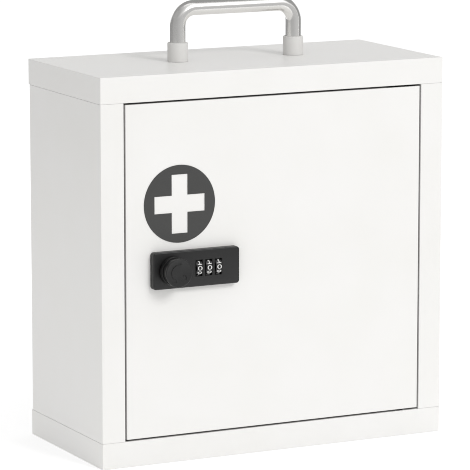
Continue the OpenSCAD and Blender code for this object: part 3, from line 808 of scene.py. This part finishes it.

# %% [markdown]
# ## Flat figures
#
# Each dial shows the figures 0 to 9. A text object gives the shape of a figure, and is made a mesh before it
# is scaled to its printed size. Only the one is drawn from a listed outline, because on dials it has a foot,
# and the font's own has none.

# %% Flat figures
FIGURES = "0123456789"
FIGURE_HEIGHT = 3.4 * MM
FIGURE_WIDTH = 3.9 * MM
FONT_WELD = 1e-5  # a font's curves end in corners that lie on each other
# The outline of the one, in parts of the figure's width and height, from the left end of its foot.
ONE = [(-0.43, -0.5), (0.43, -0.5), (0.43, -0.34), (0.1, -0.34), (0.1, 0.5), (-0.08, 0.5), (-0.34, 0.3),
       (-0.26, 0.18), (-0.09, 0.3), (-0.09, -0.34), (-0.43, -0.34)]


def flat_one():
    """A one with a flag and a foot."""
    bm = bmesh.new()
    bm.faces.new([bm.verts.new((x * FIGURE_WIDTH, y * FIGURE_HEIGHT, 0)) for x, y in ONE])
    return bm


def flat_figure(figure):
    """A figure as a flat mesh in XY, centred, at its printed size."""
    if figure == "1":
        return flat_one()
    curve = bpy.data.curves.new("figure", "FONT")
    curve.body = figure
    text = bpy.data.objects.new("figure", curve)
    scene.collection.objects.link(text)
    flat = bpy.data.meshes.new_from_object(text)
    bpy.data.curves.remove(curve)
    bm = bmesh.new()
    bm.from_mesh(flat)
    bpy.data.meshes.remove(flat)
    bmesh.ops.remove_doubles(bm, verts=bm.verts, dist=FONT_WELD)
    xs = [v.co.x for v in bm.verts]
    ys = [v.co.y for v in bm.verts]
    bmesh.ops.translate(bm, vec=(-(min(xs) + max(xs)) / 2, -(min(ys) + max(ys)) / 2, 0), verts=bm.verts)
    size = (FIGURE_WIDTH / (max(xs) - min(xs)), FIGURE_HEIGHT / (max(ys) - min(ys)), 1)
    bmesh.ops.scale(bm, vec=size, verts=bm.verts)
    return bm


print("a figure is", round(FIGURE_HEIGHT / MM, 1), "mm high")

# %% [markdown]
# ## Figures round the dials
#
# A flat figure is cut into thin strips, so that it can follow the dial's curve, and is wrapped round the
# dial. The ten figures of a dial then get the thickness of the ink, half of it sunk into the dial so that no
# gap shows. With a zero in the middle, the windows show the one above it and the nine below. The ink of all
# ten figures is one piece, which rides on its dial.

# %% Dial figures
FIGURE_ASIDE = 0.35 * MM
INK = 0.04 * MM
STRIPS = 6


def wrapped(bm, radius, turn):
    """Bends a flat figure round a dial, to the place that is turn away from the front."""
    for i in range(1, STRIPS):
        level = (i / STRIPS - 0.5) * FIGURE_HEIGHT
        bmesh.ops.bisect_plane(bm, geom=bm.verts[:] + bm.edges[:] + bm.faces[:], plane_co=(0, level, 0),
                               plane_no=(0, 1, 0))
    for v in bm.verts:
        angle = turn + v.co.y / radius
        v.co = Vector((v.co.x, -radius * math.cos(angle), radius * math.sin(angle)))
    return bm


def faces_inwards(face):
    """Whether a face looks towards the X axis, about which the dial turns."""
    centre = face.calc_center_median()
    return face.normal.dot(Vector((0, centre.y, centre.z))) < 0


def dial_figures(dial, body):
    """All ten figures of a dial as one piece."""
    lo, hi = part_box(dial)
    radius = (hi.z - lo.z) / 2 + INK
    carrier = bpy.data.meshes.new("one figure")
    bm = bmesh.new()
    for i, figure in enumerate(FIGURES):
        part = wrapped(flat_figure(figure), radius, i * 2 * math.pi / len(FIGURES))
        part.to_mesh(carrier)
        part.free()
        bm.from_mesh(carrier)
    bpy.data.meshes.remove(carrier)
    bmesh.ops.reverse_faces(bm, faces=[f for f in bm.faces if faces_inwards(f)])
    bmesh.ops.solidify(bm, geom=bm.faces[:], thickness=2 * INK)
    moved(bm, Matrix.Translation((lo + hi) / 2 + Vector((FIGURE_ASIDE, 0, 0))))
    finished(dial + "_figures", bm, "white_ink", body)


for dial, body in zip(dial_names, ("dial_left", "dial_middle", "dial_right")):
    dial_figures(dial, body)

# %% [markdown]
# ## The room
#
# The light is that of a product picture, bright and even. The background is pure white, but a room of pure
# white light would wash out the cabinet. Light Path tells the rays apart: the camera, mirrors and glass see
# white, and all other rays find the plainer level that fills the shadows.

# %% World
WHITE_FILL = 0.66
world = bpy.data.worlds.new("studio")
scene.world = world
world.use_nodes = True
sky = world.node_tree
sky.nodes.clear()


def seen_directly(tree):
    """1 for rays from the camera, off mirrors and through glass, else 0."""
    path = add(tree, "ShaderNodeLightPath")
    mirror = add(tree, "ShaderNodeMath",
                 {0: path.outputs["Is Camera Ray"], 1: path.outputs["Is Glossy Ray"]}, operation="MAXIMUM")
    glass = add(tree, "ShaderNodeMath", {0: mirror.outputs[0], 1: path.outputs["Is Transmission Ray"]},
                operation="MAXIMUM")
    return glass.outputs[0]


fill = add(sky, "ShaderNodeBackground", Color=linear("ffffff"), Strength=WHITE_FILL)
backdrop = add(sky, "ShaderNodeBackground", Color=linear("ffffff"), Strength=1.0)
choice = add(sky, "ShaderNodeMixShader",
             {0: seen_directly(sky), 1: fill.outputs[0], 2: backdrop.outputs[0]})
add(sky, "ShaderNodeOutputWorld", {"Surface": choice.outputs[0]})
print("the room fills the shadows at", WHITE_FILL)

# %% [markdown]
# ## The floor
#
# The floor is a plain pale sheet, large enough that its edge never shows. It is lit like any other surface
# and keeps the cabinet's shadow. A glow is added that carries it to white for the camera and for mirrors.
# For all other rays the glow is a lift, strongest beside the cabinet and weak beyond 40 centimetres. It
# stands for the light that a matt floor and the cabinet's foot would pass back and forth, which the single
# bounce leaves out, and without it the foot of the cabinet would be too dark.

# %% Floor
FLOOR_SIZE = 30.0
FLOOR_GLOW = 0.45
LIFT_NEAR = 0.38
LIFT_FAR = 0.11
NEAR_END = 0.1
FAR_START = 0.38


def glowing(tree, strength):
    """An emission whose strength comes from another node."""
    return add(tree, "ShaderNodeEmission", {"Strength": strength}).outputs[0]


def floor_finish():
    """A matt pale sheet: white for the camera, with only the cabinet's soft shadow on it."""
    material, tree, shader = new_material("pale floor")
    set_up(shader, Base_Color=linear("f4f4f4"), Roughness=0.9, Specular_IOR_Level=0.0)
    place = add(tree, "ShaderNodeTexCoord").outputs["Object"]
    distance = add(tree, "ShaderNodeVectorMath", {0: place}, operation="LENGTH")
    lift = add(tree, "ShaderNodeMapRange", {"Value": distance.outputs["Value"]},
               interpolation_type="SMOOTHSTEP")
    set_up(lift, From_Min=NEAR_END, From_Max=FAR_START, To_Min=LIFT_NEAR, To_Max=LIFT_FAR)
    level = add(tree, "ShaderNodeMapRange",
                {"Value": seen_directly(tree), "To Min": lift.outputs["Result"]}, To_Max=FLOOR_GLOW)
    lit = add(tree, "ShaderNodeAddShader", {0: shader.outputs[0], 1: glowing(tree, level.outputs["Result"])})
    output = next(n for n in tree.nodes if n.type == "OUTPUT_MATERIAL")
    tree.links.new(lit.outputs[0], output.inputs["Surface"])
    material.cycles.emission_sampling = "NONE"
    return material


def studio_object(name, bm, material):
    """Makes a bmesh an object of the studio, which isn't part of the cabinet."""
    mesh = bpy.data.meshes.new(name)
    bm.to_mesh(mesh)
    bm.free()
    mesh.materials.append(material)
    thing = bpy.data.objects.new(name, mesh)
    scene.collection.objects.link(thing)
    return thing


floor_bm = bmesh.new()
bmesh.ops.create_grid(floor_bm, x_segments=1, y_segments=1, size=FLOOR_SIZE / 2)
floor = studio_object("floor", floor_bm, floor_finish())
print("the floor is", FLOOR_SIZE, "m wide")

# %% [markdown]
# ## Grey cards
#
# A polished bar in a white room is all white and loses its shape. A photographer stands grey cards round it,
# and the bar draws them as the dark lines that make it look round. These cards do the same, and only mirrors
# see them: they cast no shadow and light nothing. Each is a profile that is spun part of the way round the
# cabinet. Its grey may change from left to right, and it may fade to white at its top, so that the line it
# draws has one soft side.

# %% Card maker
LEFT_END = -1.0
RIGHT_END = 0.6
CARD_STEPS = 32
HIDDEN_FROM = ("camera", "diffuse", "transmission", "volume_scatter", "shadow")


def card_finish(name, greys, fade):
    """Glows at the left grey up to the right grey, and turns to white between the two heights of fade."""
    material = bpy.data.materials.new(name)
    material.use_nodes = True
    tree = material.node_tree
    tree.nodes.clear()
    place = add(tree, "ShaderNodeSeparateXYZ", {0: add(tree, "ShaderNodeTexCoord").outputs["Object"]})
    grey = add(tree, "ShaderNodeMapRange", {"Value": place.outputs["X"]})
    set_up(grey, From_Min=LEFT_END, From_Max=RIGHT_END, To_Min=greys[0], To_Max=greys[1])
    level = add(tree, "ShaderNodeMapRange", {"Value": place.outputs["Z"], "To Min": grey.outputs["Result"]},
                interpolation_type="SMOOTHSTEP")
    set_up(level, From_Min=fade[0], From_Max=fade[1], To_Max=1.0)
    add(tree, "ShaderNodeOutputMaterial", {"Surface": glowing(tree, level.outputs["Result"])})
    material.cycles.emission_sampling = "NONE"
    return material


def grey_card(name, greys, profile, turns, fade):
    """Spins (distance, height) points between two turns, in degrees counted from the front to the right."""
    bm = bmesh.new()
    verts = [bm.verts.new((0, -distance, height)) for distance, height in profile]
    edges = [bm.edges.new(pair) for pair in zip(verts, verts[1:])]
    bmesh.ops.rotate(bm, verts=verts, matrix=Matrix.Rotation(math.radians(turns[0]), 3, "Z"))
    bmesh.ops.spin(bm, geom=verts + edges, cent=(0, 0, 0), axis=(0, 0, 1), dvec=(0, 0, 0),
                   angle=math.radians(turns[1] - turns[0]), steps=CARD_STEPS, use_merge=False,
                   use_duplicate=False)
    card = studio_object(name, bm, card_finish(name, greys, fade))
    for ray in HIDDEN_FROM:
        setattr(card, "visible_" + ray, False)


print("a card is spun in", CARD_STEPS, "steps")

# %% [markdown]
# ## Where the cards stand
#
# The bar's legs and lower side see the cards in front, which begin flat on the floor and stand up a metre
# away. The outer edges of its bends see the low cards at the rear and its top edge the high one. The white
# between the front cards and the high one is the bright band along the bar, and the card at the upper left
# narrows that band where the bar bends down.

# %% Hang the cards
FRONT_GREYS = (0.38, 0.54)
REAR_GREYS = (0.3, 0.3)
HIGH_GREYS = (0.33, 0.33)
UPPER_GREYS = (0.4, 1.0)
NO_FADE = (3.0, 4.0)
FRONT_FOOT = [(0.7, 0.001), (1.0, 0.001)]
REAR_WALL = [(1.4, 0.28), (1.6, 0.8)]
HIGH_VAULT = [(1.6, 0.8), (1.4, 1.6), (0.8, 2.1), (0.05, 2.3)]
UPPER_VAULT = [(1.0, 0.69), (1.5, 1.2), (1.2, 1.8), (0.6, 2.2)]

# Name, left and right grey, profile in metres, first and last turn in degrees, and fade in metres.
CARDS = [
    ("front left grey card", FRONT_GREYS, FRONT_FOOT + [(1.0, 0.69)], (-103, 8), NO_FADE),
    ("front grey card", FRONT_GREYS, FRONT_FOOT + [(1.0, 0.68)], (8, 63), (0.52, 0.66)),
    ("low rear grey card", REAR_GREYS, [(1.45, 0), (1.45, 0.36)], (68, 257), (0.24, 0.36)),
    ("right rear grey card", REAR_GREYS, REAR_WALL, (66, 116), NO_FADE),
    ("left rear grey card", REAR_GREYS, REAR_WALL, (200, 265), NO_FADE),
    ("high rear grey card", HIGH_GREYS, HIGH_VAULT, (50, 265), NO_FADE),
    ("upper left grey card", UPPER_GREYS, UPPER_VAULT, (-125, 40), NO_FADE),
]
for card in CARDS:
    grey_card(*card)
print("hung", len(CARDS), "grey cards")

# %% [markdown]
# ## The key light
#
# One large softbox stands to the right of the front and about 34 degrees up. It makes the front the
# brightest side and throws a soft shadow to the rear left. More lamps would only flatten the cabinet, since
# the room already fills its shadows.

# %% Key light
KEY_DISTANCE = 4.0
KEY_SIZE = 1.17
KEY_WATTS = 50.5
cabinet_middle = Vector((0, 0, 0.17))
to_key = Vector((0.45, -1.43, 1.0)).normalized()

key_data = bpy.data.lights.new("key", "AREA")
key_data.shape = "RECTANGLE"
key_data.size = KEY_SIZE
key_data.size_y = KEY_SIZE
key_data.energy = KEY_WATTS
key = bpy.data.objects.new("key", key_data)
key.location = cabinet_middle + KEY_DISTANCE * to_key
key.rotation_euler = (cabinet_middle - key.location).to_track_quat("-Z", "Y").to_euler()
scene.collection.objects.link(key)
print("the key stands", round(math.degrees(math.asin(to_key.z))), "degrees up")
